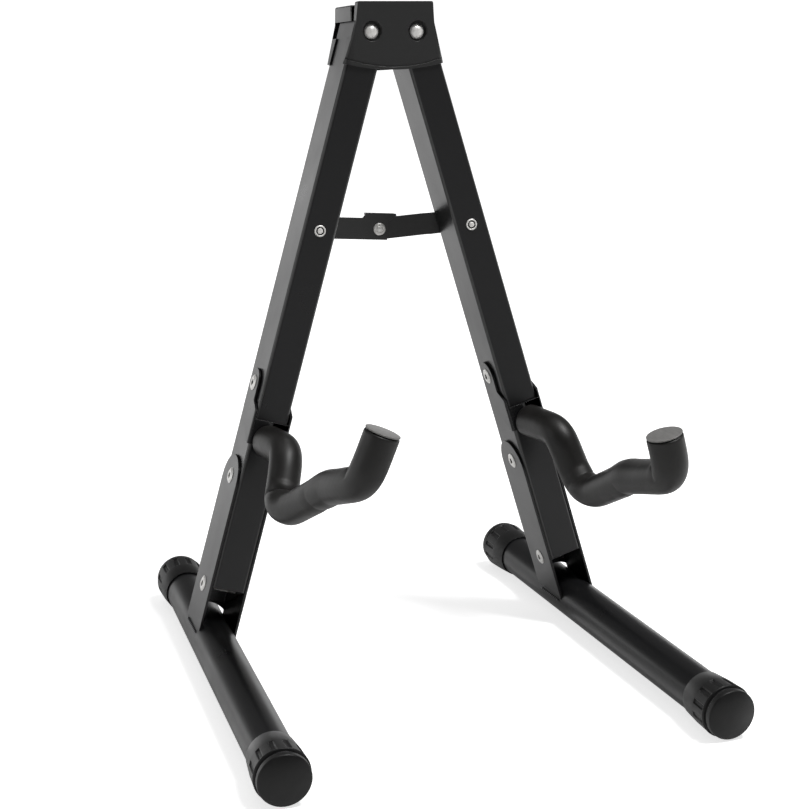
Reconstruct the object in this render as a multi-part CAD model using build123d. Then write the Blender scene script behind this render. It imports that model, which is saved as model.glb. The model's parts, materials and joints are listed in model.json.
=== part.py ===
"""Folding A-frame floor stand for a guitar.

Two rectangular legs hang from rivets in a pressed-steel head and splay into an A.
Each leg carries a round base tube on a riveted foot bracket, and a foam-covered
support arm on a bracket that swings up against the leg for storage.
A two-link spreader locks the legs open just past its straight line.

Millimetres and degrees. +X is to the right, +Y to the back and +Z up.
The origin is on the floor, at the centre of the footprint.
"""
from build123d import *
import os
from math import atan2, cos, hypot, radians, sin, tan

LEFT = -1
RIGHT = 1
SIDE_NAMES = {LEFT: "left", RIGHT: "right"}

# ---- stance -------------------------------------------------------------
SPLAY = 16.4            # each leg off the middle line, legs open
LEAN = 5.3              # the A leans back by this much
LEG_REACH = 366.2       # head pivot down to the base tube's axis
TOE_OUT = 2.4           # base tubes open towards the front

# ---- leg tube -----------------------------------------------------------
LEG_W = 20.0
LEG_D = 32.0
LEG_WALL = 1.2
LEG_CORNER = 2.0
LEG_ABOVE = 6.6         # tube above the head pivot, sawn level when open
LEG_APART = 3.8         # half the gap between the two tubes at the pivots
FOOT_CLEAR = 4.078      # saw cut above the base tube, at the back wall
LEG_CUT_ANGLE = 25.0    # the cut runs lower towards the back
FACE = LEG_D / 2        # front and back faces, off the leg's axis

# ---- head shells --------------------------------------------------------
HEAD_SHEET = 0.8
HEAD_TOP = 16.9         # above the pivots
HEAD_SHOULDER = 5.0     # where the sides start to flare
HEAD_SKIRT = -18.0      # bottom corners
HEAD_BELLY = -21.6      # lowest point of the bottom edge
HEAD_TOP_IN = 1.0       # its top corners, in from a leg's outer face at the pivot
SIDE_PLAY = 0.2         # shell to an open leg's outer face
HEAD_CORNER = 1.2       # round top corners
FRONT_GAP = 2.55        # leg's front face to the front shell at the pivots
FRONT_TILT = 5.9        # the front shell runs forward towards the top
CHEEK_IN = 2.0          # its slanted cheeks at the skirt: across
CHEEK_BACK = 2.0        # and in depth
LAP_STEP = 1.6          # the rear shell's top is this much lower
DIMPLE_R = 5.0          # floor of the pressed seats for the front domes
DIMPLE_FLARE = 1.2
DIMPLE_GAP = 0.1
FRONT_RIM = 3.9         # depth of the front shell's upper rim
FRONT_LIP = 10.9        # depth of its lower lips at their top
FRONT_LIP_TILT = 20.0   # and they get shallower downwards
REAR_GAP = 5.5          # leg's back face to the rear shell's outer face at the pivots
REAR_TILT = 11.3        # it runs forward towards the bottom
REAR_EDGE = 2.0
REAR_SEAT_R = 6.0       # flat pads round the rear rivet heads
REAR_SEAT = 0.3         # pads stand off the outer face
REAR_PAD = 1.2
REAR_TAB_BACK = 6.2     # its upper rim starts this far behind the legs' front face
REAR_TAB_TILT = 19.0
REAR_LIP = 4.5          # its lower lips reach this far forward of their back face
NOTCH_TOP = 6.2         # clears the legs' outer corners as they swing
NOTCH_BOTTOM = -3.0
BEAD_ENDS = 4.6         # pressed groove above the skirt's corners
BEAD_MIDDLE = 2.5       # and above the lowest point
BEAD_WIDE = 1.0
BEAD_DEEP = 0.45

# ---- pins, rivets and their fits ----------------------------------------
PIN_PLAY = 0.05         # radial, wherever something turns
RIVET_PLAY = 0.05       # radial, fixed rivets in their holes
HEAD_PIN_R = 3.0
HEAD_DOME_R = 4.4
HEAD_DOME_H = 2.5
BUSH_WALL = 1.5
SPACER_WALL = 2.0
SIDE_RIVET_R = 2.6
SIDE_HEAD_R = 4.7
SIDE_HEAD_H = 1.0
SIDE_EYE_R = 1.6        # hollow end of a clinched rivet
SPREAD_PIN_R = 2.5
SPREAD_HEAD_R = 3.4
SPREAD_HEAD_H = 1.0
MIDDLE_HEAD_R = 3.8
MIDDLE_HEAD_H = 1.5

# ---- support arm and its bracket ----------------------------------------
ARM_PIVOT = LEG_REACH - 153.3   # head pivot down to the arm pivot
ARM_SHEET = 1.5
ARM_PLAY = 0.2          # bracket to the leg, each side and in front
TONGUE_R = 8.9
JOG_TOP = 9.2           # below the arm pivot
JOG_BOTTOM = 14.2
WEB_TOP = 19.0
WEB_BOTTOM = 34.0
HEEL_DROP = 16.0
ARM_ROOT = 29.8         # below the arm pivot
ROD_R = 4.0
FOAM_R = 9.6
ROOT_LAP = 4.0          # drawn back this far, then cut flush with the web
FOAM_START = 0.4        # foam clear of the web
CAP_THICK = 2.6
CAP_EDGE = 0.9
# forward and drop of each corner of the arm's centre line, from its root
ARM_CORNERS = [(0.0, 0.0), (35.0, 0.0), (42.8, 44.0), (111.0, 22.7), (152.3, 19.2), (158.4, -6.2)]
ARM_BENDS = [20.3, 19.3, 23.3, 17.8]
# hand-set angles of each rod: towards +X, upwards, and its hang towards -X
ARM_SET = {LEFT: (3.3, 10.2, 3.6), RIGHT: (5.7, 2.6, 0.4)}

# ---- foot bracket and base tube -----------------------------------------
FOOT_SHEET = 1.5
FOOT_UPPER = LEG_REACH - 96.5   # head pivot down to the two foot rivets
RIVET_CLEAR = 17.3      # the lower rivet above the base tube
FOOT_ROUND_DROP = 3.8   # centre of the bracket's round top below the upper rivet
FOOT_EDGE = 0.5         # plates stop short of the leg's front face
FOOT_BACK_TOP = LEG_REACH - 100.2
ARCH_GAP = 3.3          # daylight between the back wall and the base tube
BASE_R = 12.7
BASE_WALL = 1.2
BASE_FRONT = 196.3      # leg to the front cap's face
BASE_BACK = 102.2
CAP_RIB = 2.55          # how far the cap's parts stand off the tube
CAP_MOUTH = 0.8
CAP_THROAT = 0.7
CAP_DISC = 1.6
CAP_CONE = 12.0
CAP_RIBS = 12.0
CAP_SLOTS = 12
CAP_SLOT_W = 2.6
CAP_SLOT_DEEP = 0.8
CAP_NECK = 1.8
CAP_FLANGE = 4.2
CAP_MOUTH_GAP = 0.6     # open ring between the cap's mouth and the tube
CAP_MOUTH_DEEP = 2.5
WELD_R = 1.7
WELD_LONG = 26.0

# ---- spreader -----------------------------------------------------------
LINK_AT = 117.5         # head pivot down to the spreader pins
LINK_SHEET = 1.5
LINK_HALF = 6.5
LINK_GAP = 0.3          # leg's back face to the links
LINK_BETWEEN = 0.2      # left link to right link
OVER_CENTRE = 3.0       # middle pivot below the line of the pins
LINK_TAIL = 5.3
TAB_START = 8.2         # before the middle pivot
TAB_END = 10.5          # past the middle pivot
TAB_RISE = 8.0          # underside of the lip above the link's middle line
LIP_DEEP = 4.6
JOGGLE_AT = 14.0        # from the right pin to the joggle
JOGGLE_LONG = 4.0

# ---- worked out from the above ------------------------------------------
PIVOT_HALF = LEG_W / 2 + LEG_APART
LEG_CUT = LEG_REACH - BASE_R - FOOT_CLEAR - LEG_D * tan(radians(LEG_CUT_ANGLE))
FOOT_LOWER = LEG_REACH - BASE_R - RIVET_CLEAR
HEAD_TOP_HALF = PIVOT_HALF + LEG_W / 2 - HEAD_TOP_IN
REAR_AT = FACE + REAR_GAP
FRONT_AT = -FACE - FRONT_GAP - HEAD_SHEET
REAR_TAB_FRONT = REAR_TAB_BACK - FACE
REAR_LIP_FRONT = FACE - REAR_LIP
CAP_R = BASE_R + CAP_RIB
CAP_MOUTH_R = BASE_R + CAP_MOUTH
CAP_NECK_R = BASE_R + CAP_THROAT
CAP_FLANGE_R = BASE_R + CAP_DISC
CAP_LONG = CAP_CONE + CAP_RIBS + CAP_NECK + CAP_FLANGE
AXIS_Z = CAP_R
PIVOT_Z = AXIS_Z + LEG_REACH * cos(radians(SPLAY)) * cos(radians(LEAN))
FOOT_Y = (BASE_FRONT - BASE_BACK) / 2 * cos(radians(TOE_OUT))
PIVOT_Y = FOOT_Y + LEG_REACH * cos(radians(SPLAY)) * sin(radians(LEAN))
FOOT_X = PIVOT_HALF + LEG_REACH * sin(radians(SPLAY))
PIN_HALF = PIVOT_HALF + LINK_AT * sin(radians(SPLAY))
PIN_DROP = LINK_AT * cos(radians(SPLAY))
LINK_LONG = hypot(PIN_HALF, OVER_CENTRE)


# ---- frames -------------------------------------------------------------
def head_frame():
    """Between the head pivots: x to the right, y back, z up the leaning A."""
    lean = radians(LEAN)
    return Plane(origin=(0, PIVOT_Y, PIVOT_Z), x_dir=(1, 0, 0), z_dir=(0, sin(lean), cos(lean))).location


def leg_frame(side):
    """At a head pivot: x across the leg, y back, z up the leg."""
    return head_frame() * Pos(side * PIVOT_HALF, 0, 0) * Rot(0, -side * SPLAY, 0)


def arm_plane(side):
    """At an arm's root: x along the rod, y up, in the leg's frame."""
    swing, raise_, hang = ARM_SET[side]
    root = Pos(0, -FACE - ARM_PLAY - ARM_SHEET, -ARM_PIVOT - ARM_ROOT)
    set_ = root * Rot(0, 0, swing) * Rot(-raise_, 0, 0) * Rot(0, hang, 0)
    return leg_frame(side) * set_ * Plane(origin=(0, 0, 0), x_dir=(0, -1, 0), z_dir=(-1, 0, 0)).location


def base_frame(side):
    """Where a leg meets its base tube: x along the tube's axis, to the front."""
    toe = radians(TOE_OUT)
    forward = (side * sin(toe), -cos(toe), 0)
    return Plane(origin=(side * FOOT_X, FOOT_Y, AXIS_Z), x_dir=forward, z_dir=(0, 0, 1)).location


def link_frame(side):
    """At the middle pivot: x along a link to its leg's pin, y back."""
    tilt = side * -Vector(PIN_HALF, OVER_CENTRE, 0).get_angle(Vector(1, 0, 0))
    middle = head_frame() * Pos(0, 0, -PIN_DROP - OVER_CENTRE)
    return middle * Rot(0, tilt, 0)


# ---- small helpers ------------------------------------------------------
def rod_y(radius, start, end, x=0.0, z=0.0):
    """Round bar along y."""
    return Pos(x, (start + end) / 2, z) * Rot(90, 0, 0) * Cylinder(radius, end - start)


def rod_x(radius, start, end, y=0.0, z=0.0):
    """Round bar along x."""
    return Pos((start + end) / 2, y, z) * Rot(0, 90, 0) * Cylinder(radius, end - start)


def turned(points):
    """Solid turned about x from a half outline of (along, radius)."""
    outline = Polyline(*points, close=True)
    return revolve(make_face(outline), Axis.X)


def dome_y(radius, height, face, outwards):
    """Low domed rivet head on a face across y, rising along outwards (-1 or 1)."""
    ball = (radius**2 + height**2) / (2 * height)
    centre = face + outwards * (height - ball)
    slab = rod_y(radius * 1.5, min(face, face + outwards * height), max(face, face + outwards * height))
    return Pos(0, centre, 0) * Sphere(ball) & slab


def clinched_head(radius, height, eye):
    """Rolled-over rivet end about x, its ring standing up from x = 0."""
    return turned([(0, 0), (0, radius), (height * 0.6, radius), (height, radius * 0.86),
                   (height, eye * 1.25), (height * 0.7, eye), (height * 0.25, eye), (height * 0.25, 0)])


# ---- head ---------------------------------------------------------------
def head_halves():
    """Half widths of a head shell at its shoulder and at its skirt."""
    flare = HEAD_SHEET + SIDE_PLAY + LEG_W / 2 / cos(radians(SPLAY))
    slope = tan(radians(SPLAY))
    return PIVOT_HALF + flare - HEAD_SHOULDER * slope, PIVOT_HALF + flare - HEAD_SKIRT * slope


def head_outline(top=HEAD_TOP):
    """Front view of a head shell, drawn with y up."""
    shoulder, skirt = head_halves()
    rim = [(-skirt, HEAD_SKIRT), (-shoulder, HEAD_SHOULDER), (-HEAD_TOP_HALF, top),
           (HEAD_TOP_HALF, top), (shoulder, HEAD_SHOULDER), (skirt, HEAD_SKIRT)]
    edge = Polyline(*rim) + ThreePointArc(rim[-1], (0, HEAD_BELLY), rim[0])
    return fillet(make_face(edge).vertices().group_by(Axis.Y)[-1], HEAD_CORNER)


def on_head_wall(sketch, start, end):
    """Extrude a front-view sketch between two depths of the head's frame."""
    upright = Plane(origin=(0, end, 0), x_dir=(1, 0, 0), z_dir=(0, -1, 0)).location
    return upright * extrude(sketch, end - start)


def pivot_places():
    return [side * PIVOT_HALF for side in (LEFT, RIGHT)]


def shell_block(inset, top, start, end):
    """Solid as wide as a head shell less an inset, running on below the skirt."""
    shoulder, skirt = head_halves()
    low = 2 * HEAD_SKIRT
    foot = skirt + (skirt - shoulder) * (low - HEAD_SKIRT) / (HEAD_SKIRT - HEAD_SHOULDER)
    rim = [(-foot, low), (-shoulder, HEAD_SHOULDER), (-HEAD_TOP_HALF, top), (HEAD_TOP_HALF, top),
           (shoulder, HEAD_SHOULDER), (foot, low)]
    face = fillet(make_face(Polyline(*rim, close=True)).vertices().group_by(Axis.Y)[-1], HEAD_CORNER)
    return on_head_wall(offset(face, -inset) if inset else face, start, end)


def front_wall(inset=0.0):
    """The front shell's outer face, or a face parallel to it inside the shell."""
    return Pos(0, FRONT_AT, 0) * Rot(FRONT_TILT, 0, 0) * Pos(0, inset, 0)


def front_depth(height):
    return FRONT_AT - height * tan(radians(FRONT_TILT))


def front_block(inset):
    """Solid inside the front shell's outer face, or inside its inner one."""
    block = shell_block(inset, HEAD_TOP, FRONT_AT - 20, FRONT_AT + 20)
    block -= front_wall(inset) * Pos(0, -100, 0) * Box(300, 200, 300)
    for side in (LEFT, RIGHT):
        block -= cheek_cut(side, inset)
    return block


def cheek_cut(side, inset):
    """Everything outside a slanted cheek, which fades out at the shoulder."""
    shoulder, skirt = head_halves()
    start = Vector(side * shoulder, front_depth(HEAD_SHOULDER), HEAD_SHOULDER)
    front = Vector(side * (skirt - CHEEK_IN), front_depth(HEAD_SKIRT), HEAD_SKIRT)
    back = Vector(side * skirt, front_depth(HEAD_SKIRT) + CHEEK_BACK, HEAD_SKIRT)
    away = (front - start).cross(back - front).normalized()
    if away.X * side < 0:
        away = away * -1
    cheek = Plane(origin=start - away * inset, x_dir=front - start, z_dir=away)
    above = Pos(0, 0, HEAD_SHOULDER + 100) * Box(200, 200, 200)
    return cheek.location * Pos(0, 0, 20) * Box(200, 60, 40) - above


def behind(depth, height, tilt, low, high):
    """Everything behind a tilted plane through (depth, height), between two heights of the head."""
    back = Pos(0, depth, height) * Rot(tilt, 0, 0) * Pos(0, 50, 0) * Box(150, 100, 200)
    return back & Pos(0, 0, (low + high) / 2) * Box(150, 300, high - low)


def head_front_cover():
    """Pressed front shell: deep-set rivet seats, slanted cheeks, rim, lips and a groove."""
    shell = front_block(0) - front_block(HEAD_SHEET)
    shell -= behind(FRONT_AT + FRONT_RIM, 0, 0, NOTCH_TOP, HEAD_TOP + 9)
    shell -= behind(front_depth(0) + HEAD_SHEET, 0, FRONT_TILT, NOTCH_BOTTOM, NOTCH_TOP)
    shell -= behind(FRONT_AT + FRONT_LIP, NOTCH_BOTTOM, -FRONT_LIP_TILT, 3 * HEAD_SKIRT, NOTCH_BOTTOM)
    shell = shell & on_head_wall(head_outline(), FRONT_AT - 20, FRONT_AT + 20)
    floor = -FACE - DIMPLE_GAP
    outer = FRONT_AT
    wide = DIMPLE_R + DIMPLE_FLARE
    solid = front_block(0)
    for x in pivot_places():
        boss = [(floor, 0), (floor, DIMPLE_R + HEAD_SHEET), (outer, wide + HEAD_SHEET), (outer - 2, wide), (outer - 2, 0)]
        seat = [(floor - HEAD_SHEET, 0), (floor - HEAD_SHEET, DIMPLE_R), (outer - 2, wide + 0.6), (outer - 2, 0)]
        shell += Pos(x, 0, 0) * Rot(0, 0, 90) * turned(boss) & solid
        shell -= Pos(x, 0, 0) * Rot(0, 0, 90) * turned(seat)
        shell -= rod_y(HEAD_PIN_R + RIVET_PLAY, outer - 1, floor + 1, x)
    return shell - (pressed_groove() - front_block(BEAD_DEEP))


def pressed_groove():
    """Band that follows the bottom edge across the whole front."""
    wide = head_halves()[1] + 1
    ends = HEAD_SKIRT + BEAD_ENDS
    middle = HEAD_BELLY + BEAD_MIDDLE
    upper = ThreePointArc((-wide, ends), (0, middle), (wide, ends))
    right = Line((wide, ends), (wide, ends - BEAD_WIDE))
    lower = ThreePointArc((wide, ends - BEAD_WIDE), (0, middle - BEAD_WIDE), (-wide, ends - BEAD_WIDE))
    left = Line((-wide, ends - BEAD_WIDE), (-wide, ends))
    return on_head_wall(make_face(upper + right + lower + left), FRONT_AT - 5, FRONT_AT + 3.2)


def rear_block(inset, top):
    """Solid inside the rear shell's outer face, its back edges rounded."""
    block = shell_block(inset, top, REAR_TAB_FRONT, REAR_AT + 20)
    wall = Pos(0, REAR_AT, 0) * Rot(-REAR_TILT, 0, 0) * Pos(0, -inset, 0)
    block -= wall * Pos(0, 100, 0) * Box(300, 200, 300)
    rear = block.faces().sort_by(Axis.Y)[-1]
    rim = [edge for edge in rear.edges() if edge.center().Z > HEAD_SKIRT * 1.9]
    return fillet(rim, REAR_EDGE - inset)


def head_rear_cover():
    """Pressed rear shell: its upper rim reaches forward over the legs' tops."""
    top = HEAD_TOP - LAP_STEP
    hollow = rear_block(HEAD_SHEET, top)
    hollow += shell_block(HEAD_SHEET, top, REAR_TAB_FRONT - 1, REAR_TAB_FRONT)
    shell = rear_block(0, top) - hollow
    to_lips = Pos(0, REAR_LIP_FRONT - 50, NOTCH_BOTTOM - 50) * Box(150, 100, 100)
    wall = Pos(0, REAR_AT, 0) * Rot(-REAR_TILT, 0, 0) * Pos(0, -HEAD_SHEET - 0.6 * REAR_EDGE - 50, 0)
    notch = Pos(0, 0, (NOTCH_TOP + NOTCH_BOTTOM) / 2) * Box(150, 200, NOTCH_TOP - NOTCH_BOTTOM)
    notch = wall * Box(150, 100, 200) & notch
    tab = Pos(0, REAR_TAB_FRONT, NOTCH_TOP) * Rot(-REAR_TAB_TILT, 0, 0) * Pos(0, -50, 0) * Box(150, 100, 200)
    tab = tab & Pos(0, 0, NOTCH_TOP + 50) * Box(150, 200, 100)
    cutter = on_head_wall(head_outline(), -50, 50)
    shell = (shell - to_lips - notch - tab) & cutter
    pad = REAR_AT + REAR_SEAT
    for x in pivot_places():
        shell += rod_y(REAR_SEAT_R, pad - 2 * REAR_PAD, pad, x)
        shell -= rod_y(REAR_SEAT_R, pad, pad + 20, x)
        shell -= rod_y(HEAD_PIN_R + RIVET_PLAY + SPACER_WALL + RIVET_PLAY, 0, pad - REAR_PAD, x)
        shell -= rod_y(HEAD_PIN_R + RIVET_PLAY, 0, pad + 1, x)
    return shell


def head_rivet(side):
    """Pivot rivet: domed in front, peened over behind the rear shell."""
    front = -FACE - DIMPLE_GAP - HEAD_SHEET
    back = REAR_AT + REAR_SEAT
    pin = rod_y(HEAD_PIN_R, front, back)
    pin += dome_y(HEAD_DOME_R, HEAD_DOME_H, front, -1)
    pin += dome_y(HEAD_DOME_R, HEAD_DOME_H * 0.8, back, 1)
    return Pos(side * PIVOT_HALF, 0, 0) * pin


def head_spacer(side):
    """Distance sleeve between a leg's back face and the rear shell."""
    start = FACE + DIMPLE_GAP
    end = REAR_AT + REAR_SEAT - REAR_PAD
    bore = HEAD_PIN_R + RIVET_PLAY
    sleeve = rod_y(bore + SPACER_WALL, start, end) - rod_y(bore, start - 1, end + 1)
    return Pos(side * PIVOT_HALF, 0, 0) * sleeve


# ---- leg ----------------------------------------------------------------
def leg_tube(side):
    """Rectangular tube, drilled, with its foot end sawn at a slant."""
    drop = LEG_D * tan(radians(LEG_CUT_ANGLE))
    rise = LEG_W / 2 * tan(radians(SPLAY))
    top = LEG_ABOVE + rise
    long = top + LEG_CUT + drop
    outer = RectangleRounded(LEG_W, LEG_D, LEG_CORNER)
    inner = RectangleRounded(LEG_W - 2 * LEG_WALL, LEG_D - 2 * LEG_WALL, LEG_CORNER - LEG_WALL)
    tube = Pos(0, 0, top - long) * extrude(outer - inner, long)
    tube -= Pos(0, -FACE, -LEG_CUT) * Rot(-LEG_CUT_ANGLE, 0, 0) * Pos(0, 0, -50) * Box(100, 200, 100)
    tube -= Pos(0, 0, LEG_ABOVE) * Rot(0, side * SPLAY, 0) * Pos(0, 0, 50) * Box(100, 100, 100)
    tube -= rod_y(HEAD_PIN_R + PIN_PLAY, -FACE - 1, FACE + 1)
    tube -= rod_y(SPREAD_PIN_R + RIVET_PLAY, -FACE - 1, FACE + 1, z=-LINK_AT)
    for drop in (ARM_PIVOT, FOOT_UPPER, FOOT_LOWER):
        tube -= rod_x(SIDE_RIVET_R + RIVET_PLAY, -LEG_W, LEG_W, 0, -drop)
    return tube


def leg_bush():
    """Sleeve inside the leg that keeps its walls apart at the head pivot."""
    half = FACE - LEG_WALL
    bore = HEAD_PIN_R + PIN_PLAY
    return rod_y(bore + BUSH_WALL, -half, half) - rod_y(bore, -half - 1, half + 1)


def side_rivet(grip, drop):
    """Semi-tubular rivet through the leg's sides, both ends rolled over."""
    pin = rod_x(SIDE_RIVET_R, -grip, grip)
    rolled = clinched_head(SIDE_HEAD_R, SIDE_HEAD_H, SIDE_EYE_R)
    pin += Pos(grip, 0, 0) * rolled
    pin += Pos(-grip, 0, 0) * Rot(0, 180, 0) * rolled
    return Pos(0, 0, -drop) * pin


# ---- arm ----------------------------------------------------------------
def arm_bracket():
    """Folded steel saddle that straddles the leg and swings on the arm rivet."""
    web = FACE + ARM_PLAY + ARM_SHEET
    back = TONGUE_R
    outline = Polyline((TONGUE_R, 0), (TONGUE_R, -JOG_TOP), (web, -JOG_BOTTOM), (web, -WEB_BOTTOM),
                       (web - 6, -WEB_BOTTOM), (-back + 4, -HEEL_DROP - 4), (-back, -HEEL_DROP),
                       (-back, 0))
    plate = make_face(outline + ThreePointArc((-back, 0), (0, TONGUE_R), (TONGUE_R, 0)))
    sides = (LEG_W / 2 + ARM_PLAY, LEG_W / 2 + ARM_PLAY + ARM_SHEET)
    wide = 2 * sides[1]
    stood = Plane(origin=(-sides[1], 0, 0), x_dir=(0, -1, 0), z_dir=(-1, 0, 0)).location
    block = stood * extrude(plate, -wide)
    throat = Box(2 * sides[0], 2 * (web - ARM_SHEET), 200)
    above = Pos(0, 0, 100 - WEB_TOP) * Box(2 * sides[0], 100, 200)
    folded = Pos(0, 0, -50) * extrude(RectangleRounded(wide, 2 * web, ARM_SHEET), 100)
    saddle = (block & folded) - throat - above
    saddle -= rod_x(SIDE_RIVET_R + PIN_PLAY, -wide, wide)
    return Pos(0, 0, -ARM_PIVOT) * saddle


def arm_path():
    """Centre line of the arm in its own plane."""
    corners = [(forward, -drop) for forward, drop in ARM_CORNERS]
    corners[0] = (-ROOT_LAP, corners[0][1])
    return FilletPolyline(*corners, radius=ARM_BENDS)


def along_arm(radius):
    """Round bar of one radius along the whole arm."""
    start = Plane(origin=(-ROOT_LAP, 0, 0), z_dir=(1, 0, 0))
    return sweep(start * Circle(radius), path=arm_path())


def behind_web(side, gap):
    """Everything behind the bracket web's outer face, less a gap."""
    web = -FACE - ARM_PLAY - ARM_SHEET - gap
    return leg_frame(side) * Pos(0, web + 25, -ARM_PIVOT) * Box(100, 50, 100)


def arm_rod(side):
    return arm_plane(side) * along_arm(ROD_R) - behind_web(side, 0)


def arm_foam(side):
    sleeve = along_arm(FOAM_R) - along_arm(ROD_R)
    return arm_plane(side) * sleeve - behind_web(side, FOAM_START)


def arm_end_cap():
    """Smooth disc bonded over the end of the foam and the rod."""
    path = arm_path()
    seat = Plane(origin=path @ 1, z_dir=path % 1)
    disc = extrude(Circle(FOAM_R), CAP_THICK)
    rim = disc.edges().group_by(Axis.Z)[-1]
    return seat.location * fillet(rim, CAP_EDGE)


# ---- foot ---------------------------------------------------------------
def foot_bracket(side):
    """Folded channel over the leg's foot, cut round at the bottom for the base tube."""
    front = -FACE + FOOT_EDGE
    back = FACE + FOOT_SHEET
    round_r = (back - front) / 2
    middle = (back + front) / 2
    top = FOOT_UPPER + FOOT_ROUND_DROP
    outline = Polyline((front, -top), (front, -LEG_REACH), (back, -LEG_REACH), (back, -top))
    plate = make_face(outline + ThreePointArc((back, -top), (middle, -top + round_r), (front, -top)))
    half = LEG_W / 2 + FOOT_SHEET
    stood = Plane(origin=(half, 0, 0), x_dir=(0, 1, 0), z_dir=(1, 0, 0)).location
    channel = stood * extrude(plate, -2 * half)
    channel -= Pos(0, FACE - 100, -LEG_REACH) * Box(LEG_W, 200, 400)
    channel -= Pos(0, FACE, 200 - FOOT_BACK_TOP) * Box(LEG_W, 20, 400)
    for drop in (FOOT_UPPER, FOOT_LOWER):
        channel -= rod_x(SIDE_RIVET_R + RIVET_PLAY, -LEG_W, LEG_W, 0, -drop)
    placed = leg_frame(side) * channel
    placed -= base_frame(side) * rod_x(BASE_R, -100, 100)
    arch = leg_frame(side) * Pos(0, FACE, -LEG_REACH) * Rot(90, 0, 0) * Cylinder(BASE_R + ARCH_GAP, 10)
    inside = leg_frame(side) * Pos(0, FACE, -LEG_REACH) * Box(LEG_W, 20, 60)
    return placed - (arch & inside)


def foot_welds(side):
    """Weld beads where the bracket's plates stand on the base tube."""
    half = LEG_W / 2 + FOOT_SHEET
    above = max(BASE_R**2 - half**2, 0) ** 0.5
    lift = atan2(above, half)
    at = hypot(half, above) + WELD_R * 0.15
    beads = []
    for cheek in (LEFT, RIGHT):
        turn = side * radians(SPLAY) + cheek * lift
        y = cheek * at * cos(turn)
        z = cheek * at * sin(turn)
        bead = rod_x(WELD_R, -WELD_LONG / 2, WELD_LONG / 2, y, z) - rod_x(BASE_R, -100, 100)
        beads += (base_frame(side) * bead - foot_bracket(side)).solids()
    return Compound(children=beads)


def base_tube(side):
    half_front = BASE_FRONT - CAP_FLANGE
    half_back = BASE_BACK - CAP_FLANGE
    tube = rod_x(BASE_R, -half_back, half_front)
    tube -= rod_x(BASE_R - BASE_WALL, -half_back - 1, half_front + 1)
    return base_frame(side) * tube


def base_cap():
    """Moulded rubber end cap, its closed face at x = 0 looking along +x."""
    neck = -CAP_FLANGE
    ribs = neck - CAP_NECK
    cone = ribs - CAP_RIBS
    profile = [(0, 0), (0, CAP_FLANGE_R - 1), (-1, CAP_FLANGE_R), (neck, CAP_FLANGE_R), (neck, CAP_NECK_R),
               (ribs, CAP_NECK_R), (ribs, CAP_R), (cone, CAP_R), (-CAP_LONG, CAP_MOUTH_R),
               (-CAP_LONG, BASE_R + CAP_MOUTH_GAP), (-CAP_LONG + CAP_MOUTH_DEEP, BASE_R + CAP_MOUTH_GAP),
               (-CAP_LONG + CAP_MOUTH_DEEP, BASE_R), (-CAP_FLANGE, BASE_R), (-CAP_FLANGE, 0)]
    cap = turned(profile)
    slot = Box(CAP_RIBS - 1, CAP_SLOT_W, 2 * CAP_SLOT_DEEP)
    for index in range(CAP_SLOTS):
        turn = Rot((index + 0.5) * 360 / CAP_SLOTS, 0, 0)
        cap -= turn * Pos(ribs - CAP_RIBS / 2, 0, CAP_R) * slot
    return cap


def base_caps(side):
    front = base_frame(side) * Pos(BASE_FRONT, 0, 0) * base_cap()
    rear = base_frame(side) * Pos(-BASE_BACK, 0, 0) * Rot(0, 0, 180) * base_cap()
    return front, rear


# ---- spreader -----------------------------------------------------------
LINK_FRONT = FACE + LINK_GAP
LINK_BACK = LINK_FRONT + LINK_SHEET
REAR_FRONT = LINK_BACK + LINK_BETWEEN
REAR_BACK = REAR_FRONT + LINK_SHEET


def strip(start, end, front, back):
    """Flat bar along x between two depths, as wide as a link."""
    return Pos((start + end) / 2, (front + back) / 2, 0) * Box(end - start, back - front, 2 * LINK_HALF)


def spreader_link_left():
    """Front link: its raised tab folds back over the other link as the stop."""
    pin = -LINK_LONG
    bar = strip(pin, LINK_TAIL, LINK_FRONT, LINK_BACK) + rod_y(LINK_HALF, LINK_FRONT, LINK_BACK, pin)
    tab = Polyline((-TAB_START - 2.5, 0), (-TAB_START - 2.5, LINK_HALF), (-TAB_START, TAB_RISE + LINK_SHEET),
                   (TAB_END, TAB_RISE + LINK_SHEET), (TAB_END, TAB_RISE), (LINK_TAIL, LINK_HALF - 2),
                   (LINK_TAIL, 0), close=True)
    bar += on_head_wall(make_face(tab), LINK_FRONT, LINK_BACK)
    lip_long = TAB_END + TAB_START
    lip_y = (LINK_FRONT + LINK_BACK + LIP_DEEP) / 2
    bar += Pos((TAB_END - TAB_START) / 2, lip_y, TAB_RISE + LINK_SHEET / 2) * Box(
        lip_long, LINK_SHEET + LIP_DEEP, LINK_SHEET)
    bar -= rod_y(SPREAD_PIN_R + PIN_PLAY, LINK_FRONT - 1, LINK_BACK + 1, pin)
    bar -= rod_y(SPREAD_PIN_R + RIVET_PLAY, LINK_FRONT - 1, LINK_BACK + 1)
    return link_frame(LEFT) * bar


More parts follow.
